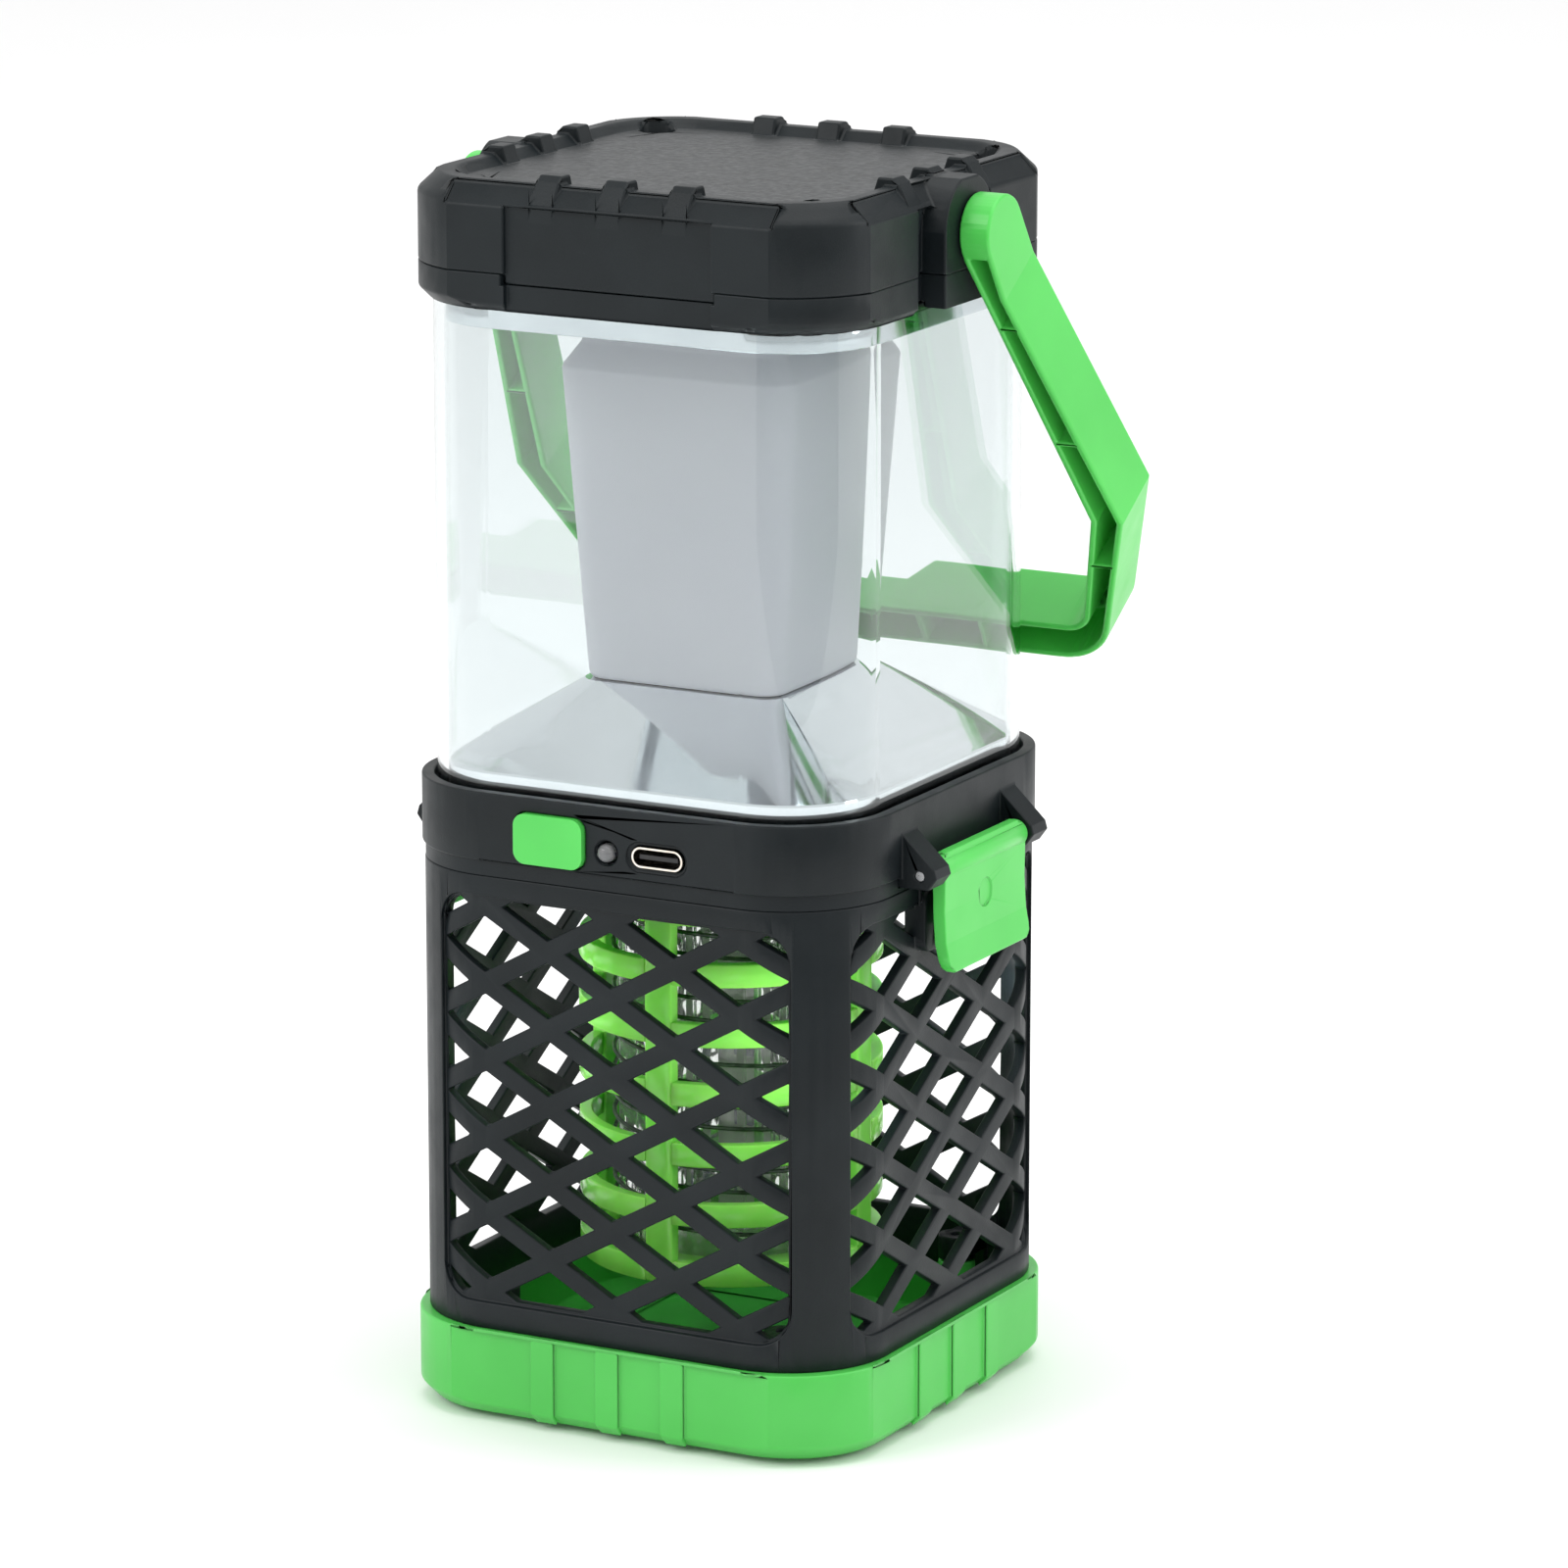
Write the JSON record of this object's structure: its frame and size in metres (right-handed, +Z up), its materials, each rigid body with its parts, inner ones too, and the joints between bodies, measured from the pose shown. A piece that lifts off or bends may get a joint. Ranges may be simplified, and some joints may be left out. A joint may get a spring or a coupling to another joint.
{
  "type": "camping lantern insect zapper",
  "caption": "Rechargeable camping lantern with a folding handle, clear shade and latched lattice cage round an electric insect-zapper tower, on a catch tray.",
  "frame": {"origin": "centre of the flat pad under the tray that the lantern stands on", "axes": "+Z up; the control face with the button and the charging port looks along -Y; the latches are on the +X and -X faces"},
  "size_m": [0.1108, 0.0963, 0.1991],
  "materials": {
    "green_tray": "glossy, slightly see-through",
    "green_soft": "semi-gloss moulded",
    "green_clear": "tinted clear plastic",
    "black_shell": "fine textured satin",
    "black_part": "matte",
    "clear": "polished clear plastic",
    "milky": "milky diffusing",
    "bright": "mirror-bright plating",
    "steel": "plain",
    "grid_steel": "drawn wire",
    "board_white": "solder mask",
    "board_green": "solder mask",
    "led_amber": "clear resin",
    "led_violet": "clear resin",
    "port_metal": "bright",
    "cell_wrap": "foil",
    "copper_part": "ferrite and tape",
    "cap_blue": "epoxy"
  },
  "bodies": {
    "stand": {"base_tray": "green_tray", "cage_front": "black_shell", "cage_back": "black_shell", "cage_right": "black_shell", "cage_left": "black_shell", "tray_screws": "steel"},
    "head": {"collar_housing": "black_shell", "collar_floor": "black_shell", "floor_screws": "steel", "shade": "clear", "cap_base": "black_shell", "cap_top": "black_shell", "cap_screws": "steel", "top_reflector": "bright", "lantern_board": "board_white", "lantern_leds": "led_amber", "diffuser": "milky", "lower_reflector": "bright", "main_board": "board_green", "power_switch": "black_part", "indicator_led": "clear", "usb_shell": "port_metal", "usb_tongue": "black_part", "battery_pack": "cell_wrap", "hv_transformer": "copper_part", "hv_capacitors": "cap_blue", "guard_rings": "green_clear", "guard_posts": "green_clear", "tower_plate": "green_clear", "tower_base": "green_clear", "fluted_tube": "clear", "uv_board": "board_white", "uv_leds": "led_violet", "grid_wire_a": "grid_steel", "grid_wire_b": "grid_steel", "wire_lugs": "green_clear", "latch_pins": "steel"},
    "handle": {"handle": "green_soft"},
    "button": {"power_button": "green_soft", "switch_plunger": "black_part"},
    "latch_right": {"latch_right": "green_soft"},
    "latch_left": {"latch_left": "green_soft"}
  },
  "joints": [
    {"name": "head_lift", "type": "slide", "parent": "stand", "child": "head", "axis": [0, 0, 1], "range_m": [0, 0.09]},
    {"name": "handle_swing", "type": "hinge", "parent": "head", "child": "handle", "pos_m": [0, 0, 0.1903], "axis": [1, 0, 0], "range_deg": [0, 280]},
    {"name": "button_press", "type": "slide", "parent": "head", "child": "button", "axis": [0, 1, 0], "range_m": [0, 0.0006], "stiffness_N_per_m": 400, "springref_m": -0.0005},
    {"name": "latch_right_swing", "type": "hinge", "parent": "head", "child": "latch_right", "pos_m": [0.0436, 0, 0.0918], "axis": [0, -1, 0], "range_deg": [0, 35]},
    {"name": "latch_left_swing", "type": "hinge", "parent": "head", "child": "latch_left", "pos_m": [-0.0436, 0, 0.0918], "axis": [0, 1, 0], "range_deg": [0, 35]}
  ]
}
